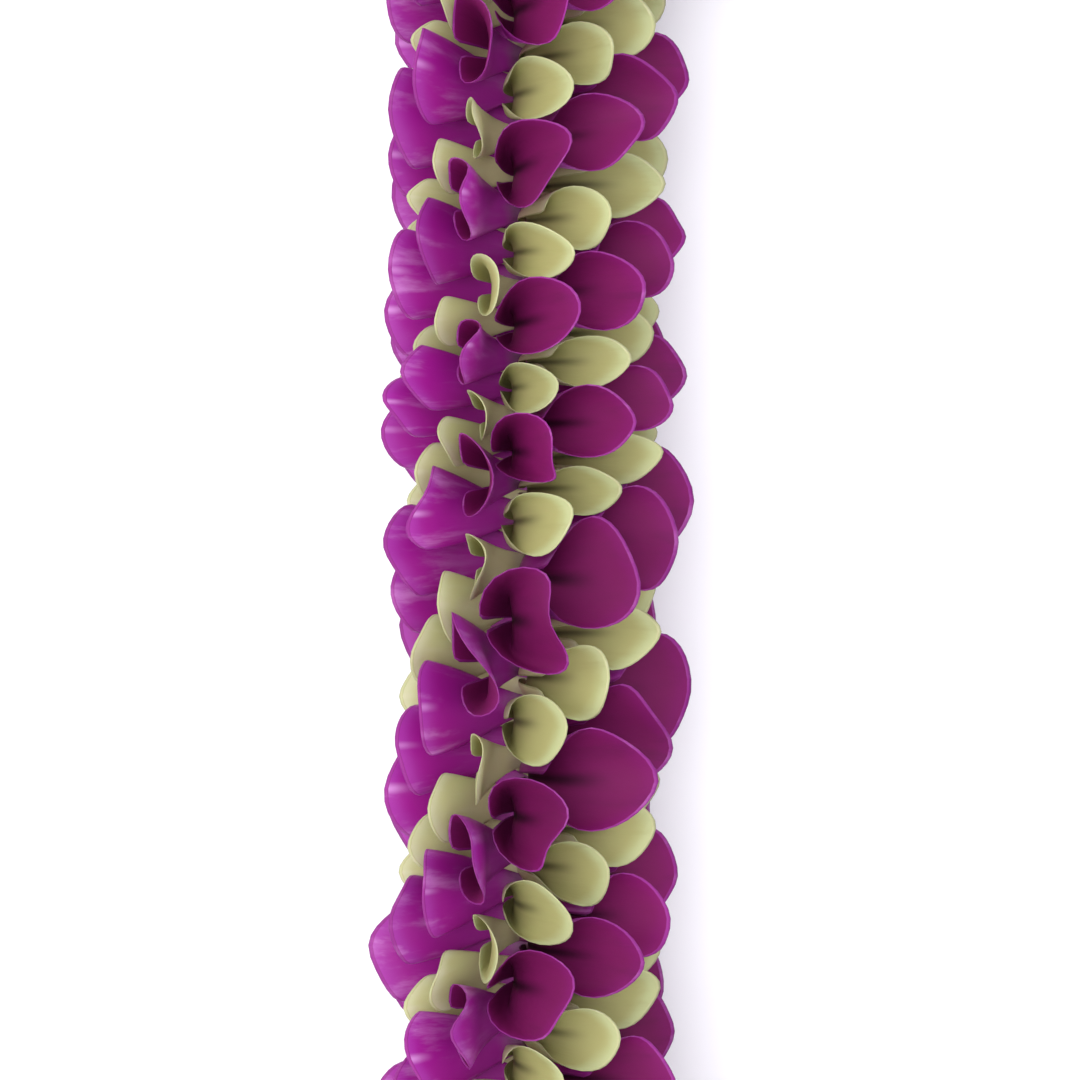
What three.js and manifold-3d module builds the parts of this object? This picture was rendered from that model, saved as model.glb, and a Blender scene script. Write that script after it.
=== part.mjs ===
// A fresh flower lei: a closed garland of folded orchid petals, sewn on one cotton string that
// runs through the foot of every petal and is tied to itself.
//
// The garland lies on a flat surface as a long oval, two straight runs and two round bends.
// Round the string stand six spiral rows, three of purple petals and three of green ones by
// turns. Each petal is folded on its midrib into a scoop. All scoops open towards the same side,
// so that the petals nest like spoons. Lengths are in millimetres and angles in degrees, with
// +Z up.

import * as THREE from "three";
import { mergeVertices } from "three/addons/utils/BufferGeometryUtils.js";
import Module from "manifold-3d";

// The spiral: how the petals follow each other along the string.
const COLUMNS_AROUND = 14;
const ROWS = 6;
const ROWS_OF_EACH_COLOUR = 3;
const PERIOD = 31.48;
const PERIODS_ALONG_LOOP = 30;
const COLUMN_ANGLE = 360 / COLUMNS_AROUND;
const PETAL_STEP = (ROWS_OF_EACH_COLOUR * PERIOD) / COLUMNS_AROUND;
const ROW_OFFSET = PERIOD / 2 - 2 * PETAL_STEP;
const PETALS_IN_ROW = (PERIODS_ALONG_LOOP * COLUMNS_AROUND) / ROWS_OF_EACH_COLOUR;
const FIRST_PETAL_AT = 8.3;
const FIRST_PETAL_ANGLE = 17;

// The closed oval that the string follows, seen from above.
const LOOP_LENGTH = PERIODS_ALONG_LOOP * PERIOD;
const BEND_RADIUS = 80;
const BEND_LENGTH = Math.PI * BEND_RADIUS;
const STRAIGHT_LENGTH = LOOP_LENGTH / 2 - BEND_LENGTH;

// On one run the petals were pushed together as they were sewn, with a looser place after it.
const BUNCHED_AT = -4;
const BUNCHED_SPREAD = 33.7;
const BUNCHED_SHIFT = 10.9;
const SQUEEZE_POWER = 0.75;

// The garland's own weight presses its underside towards flat.
const STRING_HEIGHT = 27.8;
const PRESSED_FROM = 18;
const PRESS_DEPTH = 22;

// On the outer side of its top the petals have fallen outwards, most of all round one angle.
const FALLEN_ROUND = -28;
const FALLEN_SPREAD = 35;
const FALLEN_BY = 14;

// The foot of each row: a wedge of packed petal feet, one sixth of the way round the string.
const FOOT_RADIUS = 6.5;
const FOOT_EDGE_RADIUS = 1.35;
const FOOT_HALF_ANGLE = 27.7;
const FOOT_SLANT = 0.42;
const SEAM_GAP = 0.04;

// A petal. Reach runs from 0 at the foot to 1 at the tip.
const PURPLE = { name: "purple", tipRadius: 31.6, halfWidth: 8.4, colour: 0x772363, rough: 0.5 };
const GREEN = { name: "green", tipRadius: 28.4, halfWidth: 7.2, colour: 0x9e9a6a, rough: 0.55 };
const SWEEP_ANGLE = 18;
const SWEEP_POWER = 3;
const CREASE = { reach: 0.5, width: 0, fold: 0 };
const CREASE_HALF_THICKNESS = 0.6;
const TIP = { reach: 1, width: 0, fold: 0 };

// The low lobe lies nearly flat behind the petal before it. The high lobe curls in, so that the
// petal is a trumpet with its slit to the front.
const LOW_WING = { reach: 0.42, width: -0.78, fold: 16 };
const LOW_SHOULDER = { reach: 0.82, width: -1.03, fold: 20 };
const HIGH_WING = { reach: 0.5, width: 0.45, fold: 28 };
const HIGH_SHOULDER = { reach: 0.84, width: 0.92, fold: 15 };

// Small differences from petal to petal.
const ANGLE_JITTER = 1;
const ALONG_JITTER = 0.35;
const SIZE_JITTER = 0.05;
const LEAN_JITTER = 0.02;

// How many petals each stretch of a row has: each run is one stretch and each bend is three.
const STRETCHES = [33, 12, 12, 13, 33, 12, 12, 13];
const FIRST_STRETCH_AT = -STRAIGHT_LENGTH / 2;

// The string and its knot, which lies in a small hollow of the petal feet.
const STRING_RADIUS = 0.75;
const STRING_SIDES = 5;
const STEPS_IN_BEND = 26;
const KNOT_AT = LOOP_LENGTH / 2 + 3;
const KNOT_RADIUS = 1.3;
const KNOT_STRAND_RADIUS = 0.5;
const TAIL_LENGTH = 9;
const TAIL_OFFSET = 1.1;
const HOLLOW_RADIUS = 3.2;
const HOLLOW_HALF_LENGTH = 16;

const DEGREE = Math.PI / 180;

const { Manifold, Mesh } = await startManifold();

async function startManifold() {
  const wasm = await Module();
  wasm.setup();
  return wasm;
}

// A number from -1 to 1 that looks random but is the same for the same petal and use.
function jitter(petal, use) {
  const wave = Math.sin(12.9898 * petal + 78.233 * use) * 43758.5453;
  return 2 * (wave - Math.floor(wave)) - 1;
}

// The string's route seen from above: its point, and the direction to the right of its travel,
// at a length along the loop from the middle of the left run.
function routeAt(along) {
  const half = STRAIGHT_LENGTH + BEND_LENGTH;
  const fromCorner = THREE.MathUtils.euclideanModulo(along + STRAIGHT_LENGTH / 2, LOOP_LENGTH);
  const side = fromCorner < half ? -1 : 1;
  const onHalf = fromCorner < half ? fromCorner : fromCorner - half;
  const onStraight = Math.min(onHalf, STRAIGHT_LENGTH);
  const turn = (onHalf - onStraight) / BEND_RADIUS;
  const out = { x: side * Math.cos(turn), y: -side * Math.sin(turn) };
  return {
    x: BEND_RADIUS * out.x,
    y: BEND_RADIUS * out.y - side * (onStraight - STRAIGHT_LENGTH / 2),
    right: { x: -out.x, y: -out.y },
  };
}

// The height over the string after pressing: what hangs far below it is pushed up.
function pressed(height) {
  const below = Math.max(0, -height - PRESSED_FROM);
  return height + (below * below) / (2 * PRESS_DEPTH);
}

// The angle round the string after the petals have fallen outwards.
function fallen(angle) {
  const turned = THREE.MathUtils.euclideanModulo(angle - FALLEN_ROUND + 180, 360) - 180;
  const away = turned / FALLEN_SPREAD;
  return angle - FALLEN_BY * Math.exp(-away * away);
}

// A point of the garland: length along the string, angle from straight up towards the right of
// the string's travel, and distance from the string.
function place(along, angle, radius) {
  const route = routeAt(along);
  const turn = fallen(angle) * DEGREE;
  const inward = radius * Math.sin(turn);
  return new THREE.Vector3(
    route.x + inward * route.right.x,
    route.y + inward * route.right.y,
    STRING_HEIGHT + pressed(radius * Math.cos(turn)),
  );
}

// A length along the loop as the shortest way from its start, forwards or backwards.
function shortestWay(along) {
  return along - LOOP_LENGTH * Math.round(along / LOOP_LENGTH);
}

// Where petal number i of a row sits: its length along the string, the angle of its tip, and how
// far its width is squeezed by its neighbours. Numbers between two petals give places between.
function seatOf(row, i) {
  const even = FIRST_PETAL_AT + PETAL_STEP * i + ROW_OFFSET * row;
  const fromBunch = (shortestWay(even) - BUNCHED_AT) / BUNCHED_SPREAD;
  const shift = BUNCHED_SHIFT * Math.exp(-fromBunch * fromBunch);
  const crowding = 1 - (2 * shift * fromBunch) / BUNCHED_SPREAD;
  return {
    along: even + shift,
    angle: FIRST_PETAL_ANGLE + COLUMN_ANGLE * (i - 2 * row),
    squeeze: Math.pow(crowding, SQUEEZE_POWER),
  };
}

// The corners of one petal. Away from its midrib the petal folds back by the corner's fold, and
// towards the foot the whole petal sweeps back.
function petalPoints(form, row, i) {
  const seat = seatOf(row, i);
  const number = THREE.MathUtils.euclideanModulo(i, PETALS_IN_ROW) + PETALS_IN_ROW * row;
  const reachable = form.tipRadius * (1 + SIZE_JITTER * (jitter(number, 1) - 0.4)) - FOOT_RADIUS;
  const halfWidth = form.halfWidth * (1 + SIZE_JITTER * jitter(number, 2));
  const middle = seat.along + ALONG_JITTER * seat.squeeze * jitter(number, 3);
  const tipAngle = seat.angle + ANGLE_JITTER * jitter(number, 4);
  const lean = LEAN_JITTER * seat.squeeze * jitter(number, 5);
  const at = ({ reach, width, fold }, thickness = 0) => {
    const radius = FOOT_RADIUS + reach * reachable;
    const sweep = SWEEP_ANGLE * Math.pow(1 - reach, SWEEP_POWER);
    const across = width * halfWidth * seat.squeeze + lean * reach * reachable;
    return place(middle + across, tipAngle - sweep - fold + thickness / radius / DEGREE, radius);
  };
  return {
    front: at(CREASE, -CREASE_HALF_THICKNESS),
    back: at(CREASE, CREASE_HALF_THICKNESS),
    lowWing: at(LOW_WING),
    highWing: at(HIGH_WING),
    lowShoulder: at(LOW_SHOULDER),
    highShoulder: at(HIGH_SHOULDER),
    tip: at(TIP),
  };
}

// The section of a row's foot between two petals, cut on a slant: its front and back corners
// under the petals, and its thin edge by the string.
function footSection(row, i) {
  const middle = seatOf(row, i);
  const front = seatOf(row, i + FOOT_SLANT);
  const back = seatOf(row, i - FOOT_SLANT);
  const atKnot = Math.abs(shortestWay(middle.along - KNOT_AT)) < HOLLOW_HALF_LENGTH;
  const edgeRadius = atKnot ? HOLLOW_RADIUS : FOOT_EDGE_RADIUS;
  return {
    front: place(front.along, front.angle - SWEEP_ANGLE - FOOT_HALF_ANGLE, FOOT_RADIUS),
    back: place(back.along, back.angle - SWEEP_ANGLE + FOOT_HALF_ANGLE, FOOT_RADIUS),
    edge: place(middle.along, middle.angle - SWEEP_ANGLE, edgeRadius),
  };
}

// One stretch of a row as a closed mesh: a twisted wedge of feet with a petal raised from each.
function rowStretch(form, row, first, count) {
  const positions = [];
  const faces = [];
  const add = (corners) => {
    const indexed = {};
    for (const [name, point] of Object.entries(corners)) {
      indexed[name] = positions.length / 3;
      positions.push(point.x, point.y, point.z);
    }
    return indexed;
  };

  const start = add(footSection(row, first - 0.5 + SEAM_GAP));
  faces.push(start.front, start.edge, start.back);
  let low = start;
  for (let i = first; i < first + count; i += 1) {
    const seam = i === first + count - 1 ? SEAM_GAP : 0;
    const high = add(footSection(row, i + 0.5 - seam));
    faces.push(low.front, high.front, high.edge, low.front, high.edge, low.edge);
    faces.push(low.back, high.edge, high.back, low.back, low.edge, high.edge);
    faces.push(...bladeFaces(add(petalPoints(form, row, i)), low, high));
    low = high;
  }
  faces.push(low.front, low.back, low.edge);
  return meshGeometry(positions, faces);
}

// The two faces of a petal, hollow front and ridged back, which share its outline. They rise
// from the four corners of the foot, of which one is in front of the petal and one behind it.
function bladeFaces(petal, low, high) {
  const outline = [
    low.back,
    petal.lowWing,
    petal.lowShoulder,
    petal.tip,
    petal.highShoulder,
    petal.highWing,
    high.front,
  ];
  const faces = [];
  for (let corner = 0; corner + 1 < outline.length; corner += 1) {
    faces.push(outline[corner], outline[corner + 1], petal.front);
    faces.push(outline[corner + 1], outline[corner], petal.back);
  }
  faces.push(low.front, low.back, petal.front, high.front, low.front, petal.front);
  faces.push(low.back, high.back, petal.back, high.back, high.front, petal.back);
  return faces;
}

function meshGeometry(positions, faces) {
  const geometry = new THREE.BufferGeometry();
  geometry.setAttribute("position", new THREE.Float32BufferAttribute(positions, 3));
  geometry.setIndex(faces);
  return geometry;
}

// The string as a closed tube, with rings only where it bends.
function stringTube() {
  const rings = [];
  for (const start of [STRAIGHT_LENGTH / 2, (STRAIGHT_LENGTH + LOOP_LENGTH) / 2]) {
    for (let step = 0; step <= STEPS_IN_BEND; step += 1) {
      rings.push(start + (BEND_LENGTH * step) / STEPS_IN_BEND);
    }
  }
  const positions = [];
  const faces = [];
  for (const [ring, along] of rings.entries()) {
    const here = ring * STRING_SIDES;
    const next = ((ring + 1) % rings.length) * STRING_SIDES;
    for (let side = 0; side < STRING_SIDES; side += 1) {
      const point = place(along, (360 * side) / STRING_SIDES, STRING_RADIUS);
      const other = (side + 1) % STRING_SIDES;
      positions.push(point.x, point.y, point.z);
      faces.push(here + side, next + other, next + side);
      faces.push(here + side, here + other, next + other);
    }
  }
  return meshGeometry(positions, faces);
}

// The knot round the string and the string's two ends beside it.
function knotPieces() {
  const centre = place(KNOT_AT, 0, 0);
  const knot = new THREE.TorusKnotGeometry(KNOT_RADIUS, KNOT_STRAND_RADIUS, 20, 4, 2, 3);
  knot.rotateX(90 * DEGREE);
  const tails = [-1, 1].map((way) => {
    const tail = new THREE.CylinderGeometry(KNOT_STRAND_RADIUS, KNOT_STRAND_RADIUS, TAIL_LENGTH, 5);
    return tail.translate(way * TAIL_OFFSET, (way * TAIL_LENGTH) / 2, 0.4);
  });
  return [knot, ...tails].map((piece) => piece.translate(centre.x, centre.y, centre.z));
}

// Joins closed pieces that overlap into one closed mesh.
function joined(pieces) {
  const solids = pieces.map((piece) => {
    const bare = new THREE.BufferGeometry();
    bare.setAttribute("position", piece.getAttribute("position"));
    bare.setIndex(piece.getIndex());
    const merged = mergeVertices(bare, 1e-4);
    const vertProperties = new Float32Array(merged.getAttribute("position").array);
    const triVerts = new Uint32Array(merged.getIndex().array);
    return new Manifold(new Mesh({ numProp: 3, vertProperties, triVerts }));
  });
  const mesh = Manifold.union(solids).getMesh();
  return meshGeometry(Array.from(mesh.vertProperties), Array.from(mesh.triVerts));
}

function addMesh(group, name, geometry, colour, rough) {
  const material = new THREE.MeshStandardMaterial({
    color: colour,
    roughness: rough,
    metalness: 0,
    flatShading: true,
  });
  material.name = name.startsWith("string") ? "cotton_string" : name.split("_")[0] + "_petal";
  const mesh = new THREE.Mesh(geometry, material);
  mesh.name = name;
  group.add(mesh);
}

const group = new THREE.Group();
group.name = "flower_lei";

addMesh(group, "string", joined([stringTube(), ...knotPieces()]), 0xe9e2d2, 0.9);

for (let row = 0; row < ROWS; row += 1) {
  const form = row % 2 === 0 ? PURPLE : GREEN;
  const letter = "abc"[Math.floor(row / 2)];
  let first = Math.ceil((FIRST_STRETCH_AT - FIRST_PETAL_AT - ROW_OFFSET * row) / PETAL_STEP);
  for (const [stretch, count] of STRETCHES.entries()) {
    const name = `${form.name}_row_${letter}_${stretch + 1}`;
    addMesh(group, name, rowStretch(form, row, first, count), form.colour, form.rough);
    first += count;
  }
}

// The origin is the middle of the garland's base.
const box = new THREE.Box3().setFromObject(group);
const middle = box.getCenter(new THREE.Vector3());
for (const mesh of group.children) {
  mesh.geometry.translate(-middle.x, -middle.y, -box.min.z);
  mesh.geometry.computeVertexNormals();
}

export default group;
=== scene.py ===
import bpy
import numpy as np
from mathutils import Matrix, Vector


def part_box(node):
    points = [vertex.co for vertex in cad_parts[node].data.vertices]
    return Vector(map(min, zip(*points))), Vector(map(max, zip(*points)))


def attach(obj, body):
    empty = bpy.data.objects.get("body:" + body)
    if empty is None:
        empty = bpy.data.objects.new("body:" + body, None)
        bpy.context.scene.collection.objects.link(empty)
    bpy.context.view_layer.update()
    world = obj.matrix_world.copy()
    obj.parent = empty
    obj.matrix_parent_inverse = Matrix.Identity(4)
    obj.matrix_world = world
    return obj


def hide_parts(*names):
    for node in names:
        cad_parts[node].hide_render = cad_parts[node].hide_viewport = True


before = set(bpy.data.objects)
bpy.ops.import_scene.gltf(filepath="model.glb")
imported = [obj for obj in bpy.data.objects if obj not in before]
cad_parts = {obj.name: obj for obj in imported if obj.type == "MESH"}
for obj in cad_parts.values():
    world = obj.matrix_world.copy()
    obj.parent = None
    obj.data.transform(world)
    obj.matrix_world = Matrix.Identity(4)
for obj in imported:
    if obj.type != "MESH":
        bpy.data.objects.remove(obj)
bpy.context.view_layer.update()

# Camera

# The picture looks straight down on the left run of the garland with a long lens. The garland
# crosses it from edge to edge, and the other run stays outside on the right. Metres.

PICTURE_WIDTH = 0.2138
PICTURE_MIDDLE_X = -0.0786
LENS = 85
SENSOR = 36
# From the middle of the loop to the outer side of the string.
STRING_HALF_WIDTH = 0.080761

string_low, string_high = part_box("string")
STRING_CENTRE = np.array((
    string_low.x + STRING_HALF_WIDTH,
    (string_low.y + string_high.y) / 2,
    (string_low.z + string_high.z) / 2,
))

camera_data = bpy.data.cameras.new("camera")
camera_data.lens = LENS
camera_data.sensor_width = SENSOR
camera = bpy.data.objects.new("camera", camera_data)
camera.location = (PICTURE_MIDDLE_X, 0, STRING_CENTRE[2] + PICTURE_WIDTH * LENS / SENSOR)
bpy.context.scene.collection.objects.link(camera)
bpy.context.scene.camera = camera


# String

# One length of three-ply cotton string, undyed and matt, runs through the foot of every petal.
# Its ends are tied to each other in a small knot on the far run, and cut short beside it.

# Lengths are in millimetres from here on, and angles in radians.
MM = 0.001
PERIOD = 31.48
LOOP_LENGTH = 30 * PERIOD
BEND_RADIUS = 80
BEND_LENGTH = np.pi * BEND_RADIUS
STRAIGHT_LENGTH = LOOP_LENGTH / 2 - BEND_LENGTH

# Slow waves by which the petals wander. Each has its height, its turns to one round of the loop,
# its turns to one round of the string, and its start. The heights hold at the wander radius.
WANDER_RADIUS = 30
NOD_WAVES = ((0.075, 23, 2, 0.4), (0.05, 37, -3, 2.1), (0.02, 61, 1, 4.0))
DRIFT_WAVES = ((1.1, 29, -2, 1.3), (0.5, 43, 3, 5.2))
GROWTH_WAVES = ((0.05, 31, 2, 3.0),)
GROWTH = 0.01
TWIST_AT_STRING = np.radians(50)
TWIST_RADIUS = 28

FALLEN_ROUND = np.radians(-28)
FALLEN_SPREAD = np.radians(35)
FALLEN_BY = np.radians(14)
PRESSED_FROM = 18
PRESS_DEPTH = 22

STRING_RADIUS = 0.66
PLY_DEPTH = 0.16
PLY_MIDDLE = 0.6
PLIES = 3
TWIST_LENGTH = 5.0
RINGS_ALONG_STRING = 800
POINTS_ROUND_STRING = 12

KNOT_AT = LOOP_LENGTH / 2 + 3
KNOT_RADIUS = 0.65
KNOT_STRAND_RADIUS = 0.5
KNOT_ROUNDS = 2
KNOT_WEAVE = 1.5
KNOT_RINGS = 64
POINTS_ROUND_STRAND = 8

TAIL_LENGTH = 9
TAIL_OFFSET = 1.1
TAIL_BOW = 0.9
TAIL_BOW_ASIDE = 0.4
TAIL_BOW_UP = 0.5
TAIL_HEIGHT = 0.4
TAIL_RINGS = 14

# A direction that no strand runs in, to lay out its rings by.
ASLANT = (0.31, 0.52, 0.79)


def route(along):
    """The string's line from above, in millimetres: two straight runs and two half circles.

    A length along the loop counts from the middle of the left run. It gives x and y, and the
    level direction to the inside of the loop.
    """
    half = STRAIGHT_LENGTH + BEND_LENGTH
    from_corner = np.mod(along + STRAIGHT_LENGTH / 2, LOOP_LENGTH)
    side = np.where(from_corner < half, -1.0, 1.0)
    on_half = np.where(from_corner < half, from_corner, from_corner - half)
    on_straight = np.minimum(on_half, STRAIGHT_LENGTH)
    turn = (on_half - on_straight) / BEND_RADIUS
    out_x = side * np.cos(turn)
    out_y = -side * np.sin(turn)
    x = BEND_RADIUS * out_x
    y = BEND_RADIUS * out_y - side * (on_straight - STRAIGHT_LENGTH / 2)
    return x, y, -out_x, -out_y


def wander(waves, loop, angle):
    """The sum of the waves at a way round the loop and an angle round the string: each is its
    height times the sine of its turns of both, added to its start.
    """
    return sum(height * np.sin(loop_turns * loop + string_turns * angle + start)
               for height, loop_turns, string_turns, start in waves)


def garland_points(along, angle, radius):
    """Points of the garland in metres: length along the string, angle from straight up towards
    the inside of the loop, and distance from the string.

    Petals nod round the string, drift along it and grow by slow waves, all in proportion to the
    distance from it, and they grow less towards the bottom, by one plus the angle's cosine.
    Nearer the string than 28 mm they are twisted back, by the square of what is left to it.
    Round an angle on the outer side of the top they have fallen outwards, by a bell curve of the
    angle. What hangs more than 18 mm below the string is pushed up by the square of that over
    44 mm, because the garland lies on it.
    """
    loop = 2 * np.pi * along / LOOP_LENGTH
    out = radius / WANDER_RADIUS
    nod = wander(NOD_WAVES, loop, angle)
    drift = wander(DRIFT_WAVES, loop, angle)
    growth = (GROWTH + wander(GROWTH_WAVES, loop, angle)) * (1 + np.cos(angle)) / 2
    twist = TWIST_AT_STRING * np.maximum(0, 1 - radius / TWIST_RADIUS) ** 2
    along = along + out * drift
    angle = angle + out * nod - twist
    radius = radius * (1 + out * growth)
    turned = np.mod(angle - FALLEN_ROUND + np.pi, 2 * np.pi) - np.pi
    angle = angle - FALLEN_BY * np.exp(-(turned / FALLEN_SPREAD) ** 2)
    x, y, inward_x, inward_y = route(along)
    aside = radius * np.sin(angle)
    height = radius * np.cos(angle)
    below = np.maximum(0, -height - PRESSED_FROM)
    pressed = height + below**2 / (2 * PRESS_DEPTH)
    points = np.stack(np.broadcast_arrays(x + aside * inward_x, y + aside * inward_y, pressed), -1)
    return STRING_CENTRE + MM * points


def grid_faces(rows, columns, closed_rows=False, closed_columns=False):
    """The squares between the points of a grid, which may close on itself either way."""
    index = np.arange(rows * columns).reshape(rows, columns)
    if closed_rows:
        index = np.concatenate((index, index[:1]), 0)
    if closed_columns:
        index = np.concatenate((index, index[:, :1]), 1)
    corners = (index[:-1, :-1], index[:-1, 1:], index[1:, 1:], index[1:, :-1])
    return np.stack(corners, -1).reshape(-1, 4)


def piece_from(name, points, faces, materials):
    """A smooth object at the origin whose mesh has these points and faces."""
    mesh = bpy.data.meshes.new(name)
    mesh.from_pydata(points.reshape(-1, 3).tolist(), [], faces)
    mesh.polygons.foreach_set("use_smooth", np.ones(len(mesh.polygons), bool))
    for material in materials:
        mesh.materials.append(material)
    mesh.update()
    piece = bpy.data.objects.new(name, mesh)
    bpy.context.scene.collection.objects.link(piece)
    return piece


def round_section(path, radius, around):
    """A tube's rings: round each point of a path stands a circle, square to the path there."""
    forward = np.gradient(path, axis=0)
    forward /= np.linalg.norm(forward, axis=1, keepdims=True)
    level = np.cross(forward, ASLANT)
    level /= np.linalg.norm(level, axis=1, keepdims=True)
    upright = np.cross(forward, level)
    turn = np.linspace(0, 2 * np.pi, around, endpoint=False)[:, None]
    ring = np.cos(turn) * level[:, None] + np.sin(turn) * upright[:, None]
    return path[:, None] + radius * ring


def linear(hex_colour):
    """An sRGB colour such as 0x962885 as linear red, green, blue and an alpha of 1.

    Each part is the 2.4th power of itself plus 0.055 over 1.055, or where it is low, a 12.92th.
    """
    parts = np.array([hex_colour >> 16 & 255, hex_colour >> 8 & 255, hex_colour & 255]) / 255
    low = parts / 12.92
    high = ((parts + 0.055) / 1.055) ** 2.4
    return (*np.where(parts <= 0.04045, low, high).tolist(), 1.0)


def add(tree, kind, inputs=None, **settings):
    """Adds one node: its settings, and for each input a value or the output that feeds it."""
    node = tree.nodes.new(kind)
    for name, value in settings.items():
        setattr(node, name, value)
    for socket, value in (inputs or {}).items():
        if isinstance(value, bpy.types.NodeSocket):
            tree.links.new(value, node.inputs[socket])
        else:
            node.inputs[socket].default_value = value
    return node


def new_material(name):
    """An empty node material and its tree."""
    material = bpy.data.materials.new(name)
    material.use_nodes = True
    material.node_tree.nodes.clear()
    return material, material.node_tree


def three_ply_cotton():
    """Bleached cotton, spun and laid in three plies: matt and fibrous, with grey in the lay.

    Its fibres are 0.02 mm thick and drawn 0.4 mm coarse, so that they show. Patches of it about
    7 mm across are a little greyer.
    """
    material, tree = new_material("three_ply_cotton")
    place = add(tree, "ShaderNodeTexCoord").outputs["Object"]
    fibres = add(tree, "ShaderNodeTexNoise", {"Vector": place, "Scale": 2600, "Detail": 4})
    soil = add(tree, "ShaderNodeTexNoise", {"Vector": place, "Scale": 140, "Detail": 2})
    tone = add(tree, "ShaderNodeMix", {0: soil.outputs[0], 6: linear(0xB9AE98), 7: linear(0xDAD2C0)},
               data_type="RGBA")
    bump = add(tree, "ShaderNodeBump", {"Height": fibres.outputs[0], "Strength": 0.5,
                                        "Distance": 0.0001})
    shader = add(tree, "ShaderNodeBsdfPrincipled", {
        "Base Color": tone.outputs[2], "Normal": bump.outputs[0], "Roughness": 0.9,
        "Sheen Weight": 0.3, "IOR": 1.45})
    add(tree, "ShaderNodeOutputMaterial", {"Surface": shader.outputs[0]})
    return material


# The string: rings round its line, bulged by the plies, which turn once in a twist length.
along_string = np.linspace(0, LOOP_LENGTH, RINGS_ALONG_STRING, endpoint=False)[:, None]
around_string = np.linspace(0, 2 * np.pi, POINTS_ROUND_STRING, endpoint=False)[None, :]
lay = PLIES / 2 * around_string - PLIES * np.pi * np.round(LOOP_LENGTH / TWIST_LENGTH) * (
    along_string / LOOP_LENGTH)
ply_radius = STRING_RADIUS + PLY_DEPTH * (np.abs(np.cos(lay)) - PLY_MIDDLE)
string_points = garland_points(along_string, around_string, ply_radius)

# The knot: two rounds that weave in and out and from side to side, as in an overhand knot.
knot_turn = np.linspace(0, 2 * np.pi * KNOT_ROUNDS, KNOT_RINGS, endpoint=False)
knot_reach = KNOT_RADIUS * (2 + np.cos(KNOT_WEAVE * knot_turn))
knot_centre = garland_points(np.array(KNOT_AT), 0.0, 0.0)
knot_path = knot_centre + MM * np.stack((
    knot_reach * np.cos(knot_turn),
    KNOT_RADIUS * np.sin(KNOT_WEAVE * knot_turn),
    knot_reach * np.sin(knot_turn)), -1)
knot_points = round_section(np.concatenate((knot_path[-1:], knot_path, knot_path[:1])),
                            KNOT_STRAND_RADIUS * MM, POINTS_ROUND_STRAND)[1:-1]

string_faces = grid_faces(RINGS_ALONG_STRING, POINTS_ROUND_STRING, True, True)[:, ::-1]
knot_faces = grid_faces(KNOT_RINGS, POINTS_ROUND_STRAND, True, True)[:, ::-1] + string_points.size // 3

# The tails: one to each side of the knot, bowed up and aside, with flat cut ends.
tail_points = []
tail_faces = []
tail_size = TAIL_RINGS * POINTS_ROUND_STRAND
for way in (-1, 1):
    along_tail = np.linspace(0, 1, TAIL_RINGS)
    bow = TAIL_BOW * np.sin(np.pi * along_tail)
    tail_path = knot_centre + MM * np.stack((
        way * (TAIL_OFFSET + TAIL_BOW_ASIDE * bow),
        way * TAIL_LENGTH * along_tail,
        TAIL_HEIGHT + TAIL_BOW_UP * bow), -1)
    first = (string_points.size + knot_points.size) // 3 + tail_size * len(tail_points)
    last_ring = first + tail_size - POINTS_ROUND_STRAND
    tail_points.append(round_section(tail_path, KNOT_STRAND_RADIUS * MM, POINTS_ROUND_STRAND))
    tail_faces += (grid_faces(TAIL_RINGS, POINTS_ROUND_STRAND, False, True)[:, ::-1] + first).tolist()
    tail_faces.append(list(range(first, first + POINTS_ROUND_STRAND)))
    tail_faces.append(list(range(last_ring, last_ring + POINTS_ROUND_STRAND))[::-1])

cotton_string = piece_from(
    "cotton_string",
    np.concatenate([p.reshape(-1, 3) for p in (string_points, knot_points, *tail_points)]),
    string_faces.tolist() + knot_faces.tolist() + tail_faces,
    [three_ply_cotton()])
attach(cotton_string, "root")
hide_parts("string")


# Purple petals

# Whole purple petals of an orchid, each folded on its midrib so that its two lobes curl round to
# the front and make a cup. The narrow claw at its foot is pierced and threaded on the string.
# Three rows wind round the string, and a petal stands every 6.7 mm along each of them.

COLUMNS_ROUND = 14
ROWS_OF_A_COLOUR = 3
COLUMN_ANGLE = np.radians(360 / COLUMNS_ROUND)
PETAL_STEP = ROWS_OF_A_COLOUR * PERIOD / COLUMNS_ROUND
# The next row's petals are numbered two columns behind.
ROW_SHIFT = 2
ROW_OFFSET = PERIOD / 2 - ROW_SHIFT * PETAL_STEP
FIRST_PETAL_AT = 8.3
FIRST_PETAL_ANGLE = np.radians(17)
# Petals in each stretch of a row: a straight run, three parts of a bend, and the same again.
STRETCHES = (33, 12, 12, 13, 33, 12, 12, 13)
PETALS_IN_ROW = sum(STRETCHES)

BUNCHED_AT = -4
BUNCHED_SPREAD = 33.7
BUNCHED_SHIFT = 10.9
SQUEEZE_POWER = 0.75

# Where the lines of a petal's grid lie, from the claw to the rim, and how many there are across
# each lobe.
REACHES = np.array((0, 0.24, 0.50, 0.77, 1))[:, None]
COLUMNS_ON_LOBE = 6
FINE_TURNS = 401
PETAL_THICKNESS = 0.28

SWEEP_ANGLE = np.radians(18)
SWEEP_POWER = 3
FOOT_RADIUS = 6.5
CLAW_FROM = 1.3
CLAW_TO = 5.0
CLAW_RADIUS = 1.5
CLAW_FLATNESS = 0.5
FULL_AT = 31
LOW_LOBE_POWER = 0.40
HIGH_LOBE_POWER = 0.50
DEPTH_POWER = 1.7
NEAREST_RADIUS = 4

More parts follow.
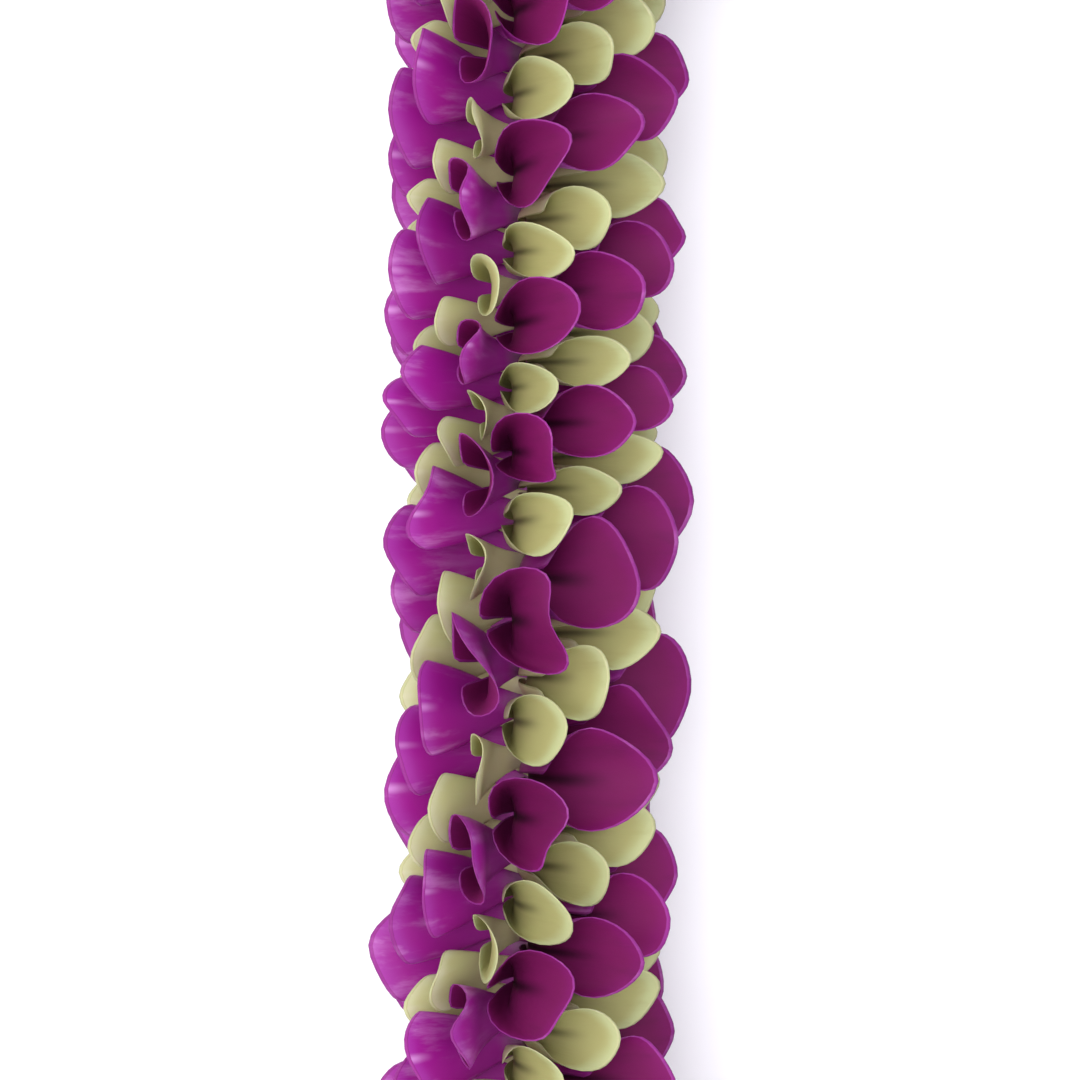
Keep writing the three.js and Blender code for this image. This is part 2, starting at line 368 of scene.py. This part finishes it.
FOLD = 0.16
FOLD_SPREAD = 0.9
FOLD_ENDS_AT = 1.35
RIM_WAVE = 0.5
RIM_WAVE_TURNS = 2.6
RIM_WAVE_POWER = 5
RAGGED = 0.010
RAGGED_TURNS = 4.3

ANGLE_JITTER = np.radians(1)
ALONG_JITTER = 0.35
SIZE_JITTER = 0.05
SIZE_MIDDLE = 0.4
LEAN_JITTER = 0.02
CURL_JITTER = 0.06
START_JITTER = 3
JITTER_BY_PETAL = 12.9898
JITTER_BY_USE = 78.233
JITTER_STEEPNESS = 43758.5453

# A rim has two numbers: how far it drops from the tip to the end of the curl, and by what power.
PURPLE = {
    "tip": 31.6,
    "low_rim": (13, 0.65),
    "high_rim": (11.5, 0.6),
    "high_lobe": 10.9,
    "low_lobe": 10.6,
    "depth": 11.4,
    "flatness": 0.8,
    "high_curl": np.radians(172),
    "low_curl": np.radians(166),
}


def jitter(petal, use):
    """A number from -1 to 1 for each petal: twice the fraction of a steep sine, less one."""
    wave = np.sin(JITTER_BY_PETAL * petal + JITTER_BY_USE * use) * JITTER_STEEPNESS
    return 2 * (wave - np.floor(wave)) - 1


def seats(row, numbers):
    """Where petals sit: the length along the string, the tip's angle, and how crowded they are.

    The petals of a row are evenly spaced, but for a bump of 11 mm in the middle of the left run,
    where they were pushed together. Its slope gives the crowding.
    """
    even = FIRST_PETAL_AT + PETAL_STEP * numbers + ROW_OFFSET * row
    shortest = even - LOOP_LENGTH * np.round(even / LOOP_LENGTH)
    from_bunch = (shortest - BUNCHED_AT) / BUNCHED_SPREAD
    shift = BUNCHED_SHIFT * np.exp(-from_bunch**2)
    crowding = 1 - 2 * shift * from_bunch / BUNCHED_SPREAD
    angle = FIRST_PETAL_ANGLE + COLUMN_ANGLE * (numbers - ROW_SHIFT * row)
    return even + shift, angle, crowding


def rim_radius(form, low_side, turn):
    """How far the rim stands from the string, by how far round the section it is: the tip's
    distance less a power of half of one minus the turn's cosine, so that the blade is rounded.
    """
    low_drop, low_power = form["low_rim"]
    high_drop, high_power = form["high_rim"]
    drop = np.where(low_side, low_drop, high_drop)
    power = np.where(low_side, low_power, high_power)
    return form["tip"] - drop * ((1 - np.cos(turn)) / 2) ** power


def lobe_size(form, low_side, radius):
    """How far a petal's section reaches to each side and to the front, at distances from the
    string: both are powers of the distance over the claw's, the front one steeper. Each is
    joined to the claw's own size by the root of the sum of their squares.
    """
    above_claw = np.maximum(0, radius - CLAW_TO) / (FULL_AT - CLAW_TO)
    spread = np.where(low_side, form["low_lobe"], form["high_lobe"])
    wide = spread * above_claw ** np.where(low_side, LOW_LOBE_POWER, HIGH_LOBE_POWER)
    deep = form["depth"] * above_claw**DEPTH_POWER
    return np.sqrt(CLAW_RADIUS**2 + wide**2), np.sqrt((CLAW_FLATNESS * CLAW_RADIUS)**2 + deep**2)


def even_turns(form):
    """Turns across the petal whose rim points are equally far apart along each lobe."""
    fine = np.linspace(-form["low_curl"], form["high_curl"], FINE_TURNS)
    low_side = fine < 0
    rim = rim_radius(form, low_side, np.abs(fine))
    wide, deep = lobe_size(form, low_side, rim)
    curve = np.stack((wide * np.sin(fine), deep * np.cos(fine), rim))
    length = np.append(0, np.cumsum(np.linalg.norm(np.diff(curve), axis=0)))
    at_tip = np.interp(0, fine, length)
    low = np.linspace(0, at_tip, COLUMNS_ON_LOBE + 1)
    high = np.linspace(at_tip, length[-1], COLUMNS_ON_LOBE + 1)[1:]
    return np.interp(np.append(low, high), length, fine)[None, :]


def petal_grids(form, row, numbers):
    """The petals of one stretch, each a grid from claw to rim and from low lobe to high lobe.

    Across the petal goes a turn, 0 on the midrib. A point stands aside by the lobe's reach times
    the turn's sine, and to the front by the depth times one minus its cosine, so both lobes curl
    round to the front. On the low side a power of that keeps the lobe flat before it curls. A
    soft fold beside the midrib fades towards the rim, where a slow wave sets in, and another
    wave makes the rim ragged. Near the foot the whole petal sweeps back.

    The second result holds the place across and along the petal and a number for the petal, for
    the materials.
    """
    numbers = numbers[:, None, None]
    along, angle, crowding = seats(row, numbers)
    squeeze = np.minimum(1, crowding)
    petal = np.mod(numbers, PETALS_IN_ROW) + PETALS_IN_ROW * row
    size = 1 + SIZE_JITTER * (jitter(petal, 1) - SIZE_MIDDLE)
    width = (1 + SIZE_JITTER * jitter(petal, 2)) * crowding**SQUEEZE_POWER
    middle = along + ALONG_JITTER * squeeze * jitter(petal, 3)
    tip_angle = angle + ANGLE_JITTER * jitter(petal, 4)
    lean = LEAN_JITTER * squeeze * jitter(petal, 5)

    turns = even_turns(form)
    low_side = turns < 0
    ragged = 1 + RAGGED * np.sin(RAGGED_TURNS * turns + START_JITTER * jitter(petal, 10))
    rim = rim_radius(form, low_side, np.abs(turns)) * ragged
    radius = CLAW_FROM + REACHES * (size * rim - CLAW_FROM)
    wide, deep = lobe_size(form, low_side, radius)
    turn = np.abs(turns) * (1 + CURL_JITTER * jitter(petal, 6 + low_side))
    fold = FOLD * np.exp(-(turn / FOLD_SPREAD) ** 2) * np.clip(FOLD_ENDS_AT - REACHES, 0, 1)
    wave = RIM_WAVE * REACHES**RIM_WAVE_POWER * np.sin(
        RIM_WAVE_TURNS * turns + START_JITTER * jitter(petal, 8))
    aside = np.where(low_side, -1, 1) * wide * np.sin(turn) * width
    bowl = 1 - np.cos(turn)
    bowl = bowl * (bowl / 2) ** np.where(low_side, form["flatness"], 0)
    back = wave - deep * bowl - wide * fold * np.sin(turn)

    reach = (radius - FOOT_RADIUS) / (size * form["tip"] - FOOT_RADIUS)
    sweep = SWEEP_ANGLE * np.maximum(0, 1 - reach) ** SWEEP_POWER
    across = middle + aside + lean * np.maximum(0, reach) ** 2 * form["tip"]
    back_angle = tip_angle - sweep + back / np.maximum(radius, NEAREST_RADIUS)
    points = garland_points(across, back_angle, radius)

    tint = np.broadcast_to(jitter(petal, 9), radius.shape)
    signed = np.broadcast_to(turns / form["high_curl"], radius.shape)
    places = np.stack((signed, np.broadcast_to(REACHES, radius.shape), tint), -1)
    return points, places


def petal_stretch(name, form, row, numbers, materials):
    """One stretch of a row as a piece: its petals' sheets, given their thickness and smoothed."""
    points, places = petal_grids(form, row, numbers)
    rows, columns = points.shape[1:3]
    one = grid_faces(rows, columns)
    starts = rows * columns * np.arange(numbers.size)[:, None, None]
    faces = (starts + one[:, ::-1]).reshape(-1, 4)
    piece = piece_from(name, points, faces.tolist(), materials)
    attribute = piece.data.attributes.new("petal_place", "FLOAT_VECTOR", "POINT")
    attribute.data.foreach_set("vector", places.ravel())
    wall = piece.modifiers.new("thickness", "SOLIDIFY")
    wall.thickness = PETAL_THICKNESS * MM
    wall.offset = 0
    wall.material_offset = 1
    wall.material_offset_rim = 2
    smooth = piece.modifiers.new("smooth", "SUBSURF")
    smooth.levels = 1
    smooth.render_levels = 1
    return piece


# A skin's patterns lie in the petal's own place: across it from -1 to 1 at the ends of the curl,
# along it from 0 at the claw to 1 at the rim, and a number from -1 to 1 for the petal.
CLOUD_SCALE = 3.0
CLOUD_SHIFT = 0.16
# Where along the petal each next colour sets in, and where it is full.
THROAT_SPAN = (0.12, 0.30)
BLADE_SPAN = (0.40, 0.78)
EDGE_SPAN = (0.88, 1.06)
# The veins fan out along the petal. Half of a purple rim is 27 mm, so their widest streaks are
# about 5 mm across and their finest 0.2 mm. Each petal has its own.
VEIN_FAN = (5.0, 1.1, 31.0)
VEIN_CUT = (0.49, 0.72)
VEINS_SPAN = (0.35, 1.0)
VEINS_IN_THROAT = 0.15
# A pale end of the midrib, on the petals whose number is high.
MARK_SPAN = (0.76, 1.0)
MARK_WIDTH = 0.04
MARKED_NUMBERS = (-0.4, 0.8)
# Painted shade along the midrib's crease in the throat, where the folded lobes meet.
CREASE_SHADE_WIDTH = 0.10
CREASE_SHADE_SPAN = (0.38, 0.75)
# How dark and how light whole petals are beside each other.
DARKEST = 0.9
LIGHTEST = 1.1


def petal_skin(name, colours, streaks, roughness, gloss, crease_shade=0.0, tip_mark=0.0):
    """One side of a fresh petal, whose colour runs from the claw to the rim.

    Its colours are for the claw, the throat, the blade and the edge, and for the fine veins that
    fan out of the claw. Streaks says how strongly the veins show at the rim, crease shade how much
    painted shade darkens the midrib's crease in the throat, and tip mark how pale its end is, on
    some petals.
    """
    claw, throat, blade, edge, vein = map(linear, colours)
    material, tree = new_material(name)
    place = add(tree, "ShaderNodeAttribute", attribute_name="petal_place").outputs["Vector"]
    parts = add(tree, "ShaderNodeSeparateXYZ", {0: place}).outputs
    clouds = add(tree, "ShaderNodeTexNoise", {"Vector": place, "Scale": CLOUD_SCALE, "Detail": 3})
    reach = add(tree, "ShaderNodeMath", {0: clouds.outputs[0], 1: CLOUD_SHIFT, 2: parts[1]},
                operation="MULTIPLY_ADD").outputs[0]

    colour = claw
    steps = ((*THROAT_SPAN, throat), (*BLADE_SPAN, blade), (*EDGE_SPAN, edge))
    for start, end, next_colour in steps:
        part = add(tree, "ShaderNodeMapRange", {0: reach, 1: start, 2: end},
                   interpolation_type="SMOOTHSTEP")
        colour = add(tree, "ShaderNodeMix", {0: part.outputs[0], 6: colour, 7: next_colour},
                     data_type="RGBA").outputs[2]

    fan = add(tree, "ShaderNodeVectorMath", {0: place, 1: VEIN_FAN}, operation="MULTIPLY")
    veins = add(tree, "ShaderNodeTexNoise", {"Vector": fan.outputs[0], "Scale": 1.0, "Detail": 5,
                                             "Roughness": 0.6})
    towards_rim = add(tree, "ShaderNodeMapRange", {
        0: parts[1], 1: VEINS_SPAN[0], 2: VEINS_SPAN[1], 3: VEINS_IN_THROAT * streaks, 4: streaks})
    vein_part = add(tree, "ShaderNodeMapRange", {
        0: veins.outputs[0], 1: VEIN_CUT[0], 2: VEIN_CUT[1], 4: towards_rim.outputs[0]},
                    interpolation_type="SMOOTHSTEP")

    beside = add(tree, "ShaderNodeMath", {0: parts[0]}, operation="ABSOLUTE").outputs[0]
    often = add(tree, "ShaderNodeMapRange", {
        0: parts[2], 1: MARKED_NUMBERS[0], 2: MARKED_NUMBERS[1], 3: 0.0, 4: tip_mark})
    at_tip = add(tree, "ShaderNodeMapRange", {
        0: parts[1], 1: MARK_SPAN[0], 2: MARK_SPAN[1], 3: 0.0, 4: often.outputs[0]},
                 interpolation_type="SMOOTHSTEP")
    mark = add(tree, "ShaderNodeMapRange", {
        0: beside, 1: 0.0, 2: MARK_WIDTH, 3: at_tip.outputs[0], 4: 0.0},
               interpolation_type="SMOOTHSTEP")
    pale = add(tree, "ShaderNodeMath", {0: vein_part.outputs[0], 1: mark.outputs[0]},
               operation="MAXIMUM").outputs[0]
    veined = add(tree, "ShaderNodeMix", {0: pale, 6: colour, 7: vein},
                 data_type="RGBA").outputs[2]

    # Painted shade: a dark band along the midrib in the throat stands in for the shade in the crease
    # where the lobes fold together, and fades out towards the rim.
    midrib_shade = add(tree, "ShaderNodeMapRange", {0: beside, 1: 0.0, 2: CREASE_SHADE_WIDTH, 3: 1.0, 4: 0.0},
              interpolation_type="SMOOTHSTEP")
    crease_shade_fading = add(tree, "ShaderNodeMapRange", {
        0: parts[1], 1: CREASE_SHADE_SPAN[0], 2: CREASE_SHADE_SPAN[1], 3: crease_shade, 4: 0.0},
                 interpolation_type="SMOOTHSTEP")
    painted_crease_shade = add(tree, "ShaderNodeMath", {0: midrib_shade.outputs[0], 1: crease_shade_fading.outputs[0]},
               operation="MULTIPLY").outputs[0]
    shade = add(tree, "ShaderNodeMath", {0: 1.0, 1: painted_crease_shade}, operation="SUBTRACT").outputs[0]
    tint = add(tree, "ShaderNodeMapRange", {0: parts[2], 1: -1.0, 2: 1.0, 3: DARKEST, 4: LIGHTEST})
    value = add(tree, "ShaderNodeMath", {0: tint.outputs[0], 1: shade},
                operation="MULTIPLY").outputs[0]
    toned = add(tree, "ShaderNodeHueSaturation", {"Value": value, "Color": veined})

    bump = add(tree, "ShaderNodeBump", {"Height": veins.outputs[0], "Strength": 0.35,
                                        "Distance": 0.0004})
    shader = add(tree, "ShaderNodeBsdfPrincipled", {
        "Base Color": toned.outputs[0], "Normal": bump.outputs[0], "Roughness": roughness,
        "IOR": 1.42, "Specular IOR Level": 0.2, "Coat Weight": gloss, "Coat Roughness": 0.3,
        "Subsurface Weight": 0.12, "Subsurface Radius": (1.0, 0.5, 0.8), "Subsurface Scale": 0.0008})
    add(tree, "ShaderNodeOutputMaterial", {"Surface": shader.outputs[0]})
    return material


# Fresh purple petal. The front is velvety with small cone-shaped cells and drinks the light, the
# back is smooth and waxy with a lighter, bluer colour, and the thin rim lies between the two.
# On the front, shade is painted along the midrib's crease in the throat.
purple_skins = [
    petal_skin("purple_petal_front", (0x7A4A5E, 0x6A124C, 0x680E4A, 0x6C0C52, 0x4C0E38), 0.4, 0.62, 0.0,
               crease_shade=0.75),
    petal_skin("purple_petal_back", (0x8A5480, 0x942486, 0x901682, 0x922C8E, 0xC48CC6), 0.55, 0.40, 0.10,
               tip_mark=0.7),
    petal_skin("purple_petal_rim", (0x9C7488, 0x7A1A6C, 0x7A1A6C, 0x7E2474, 0xB870B4), 0.3, 0.5, 0.05),
]


def sew_rows(colour, form, first_row, materials):
    """The three rows of one colour, stretch by stretch, each for the stretch of the same name.

    A row's first petal is the first that sits past the start of the left run.
    """
    for turn, letter in enumerate("abc"):
        row = first_row + 2 * turn
        start = (-STRAIGHT_LENGTH / 2 - FIRST_PETAL_AT - ROW_OFFSET * row) / PETAL_STEP
        first = int(np.ceil(start))
        for stretch, count in enumerate(STRETCHES, 1):
            node = f"{colour}_row_{letter}_{stretch}"
            numbers = np.arange(first, first + count)
            piece = petal_stretch(f"{colour}_petals_{letter}_{stretch}", form, row, numbers, materials)
            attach(piece, "root")
            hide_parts(node)
            first += count


sew_rows("purple", PURPLE, 0, purple_skins)


# Green petals

# Smaller yellow-green petals of another orchid, folded and threaded in the same way. Their three
# rows lie between the purple ones, with the rims a little lower.

GREEN = {
    "tip": 26.9,
    "low_rim": (13, 0.65),
    "high_rim": (11, 0.6),
    "high_lobe": 6.6,
    "low_lobe": 8.5,
    "depth": 8.6,
    "flatness": 0.3,
    "high_curl": np.radians(172),
    "low_curl": np.radians(166),
}

# Fresh green petal: chlorophyll through a thin waxy blade, so olive in the throat where it is
# thick, yellow-green on the blade, and paler on the back. On the front, the throat is darker also
# by painted shade, and shade is painted along the midrib's crease there.
green_skins = [
    petal_skin("green_petal_front", (0xA08C6C, 0x8E8A5A, 0x9A9862, 0xA6AC7C, 0x868250), 0.35, 0.55, 0.03,
               crease_shade=0.65),
    petal_skin("green_petal_back", (0xB8AC90, 0xBAB286, 0xB8B886, 0xBEC098, 0xC8C6AA), 0.4, 0.45, 0.05,
               tip_mark=0.5),
    petal_skin("green_petal_rim", (0xB8AC94, 0x8C8858, 0x9C9C6C, 0xA8AA7C, 0xC8C6A8), 0.3, 0.5, 0.05),
]
sew_rows("green", GREEN, 1, green_skins)


# Floor and light

# The garland lies on a plain white sheet, lit by a bright room and one large soft lamp that
# stands on the left, a little towards the top of the picture. Metres.

FLOOR_HALF = 3.0
FLOOR_DROP = 0.0002
ROOM_STRENGTH = 1.75
LAMP_STRENGTH = 1.5
LAMP_ANGLE = np.radians(60)
LAMP_TILT = (0.0, -0.5, -0.3)

# White paper, uncoated and so matt. Its grain is about 0.1 mm and drawn 1 mm coarse.
floor_material, floor_tree = new_material("white_paper")
paper_place = add(floor_tree, "ShaderNodeTexCoord").outputs["Object"]
grain = add(floor_tree, "ShaderNodeTexNoise", {"Vector": paper_place, "Scale": 900, "Detail": 3})
paper_bump = add(floor_tree, "ShaderNodeBump", {"Height": grain.outputs[0], "Strength": 0.05,
                                                "Distance": 0.0001})
paper = add(floor_tree, "ShaderNodeBsdfPrincipled", {
    "Base Color": linear(0xF4F3F6), "Roughness": 0.8, "Normal": paper_bump.outputs[0]})
add(floor_tree, "ShaderNodeOutputMaterial", {"Surface": paper.outputs[0]})

floor_corners = FLOOR_HALF * np.array(((-1, -1, 0), (1, -1, 0), (1, 1, 0), (-1, 1, 0)))
floor = piece_from("floor", floor_corners - (0, 0, FLOOR_DROP), [(0, 1, 2, 3)], [floor_material])

world = bpy.data.worlds.new("bright_room")
world.use_nodes = True
world.node_tree.nodes["Background"].inputs["Color"].default_value = linear(0xFAFAFF)
world.node_tree.nodes["Background"].inputs["Strength"].default_value = ROOM_STRENGTH
bpy.context.scene.world = world

lamp_data = bpy.data.lights.new("soft_lamp", "SUN")
lamp_data.energy = LAMP_STRENGTH
lamp_data.angle = LAMP_ANGLE
lamp = bpy.data.objects.new("soft_lamp", lamp_data)
lamp.rotation_euler = LAMP_TILT
bpy.context.scene.collection.objects.link(lamp)

bpy.context.scene.view_settings.view_transform = "Standard"
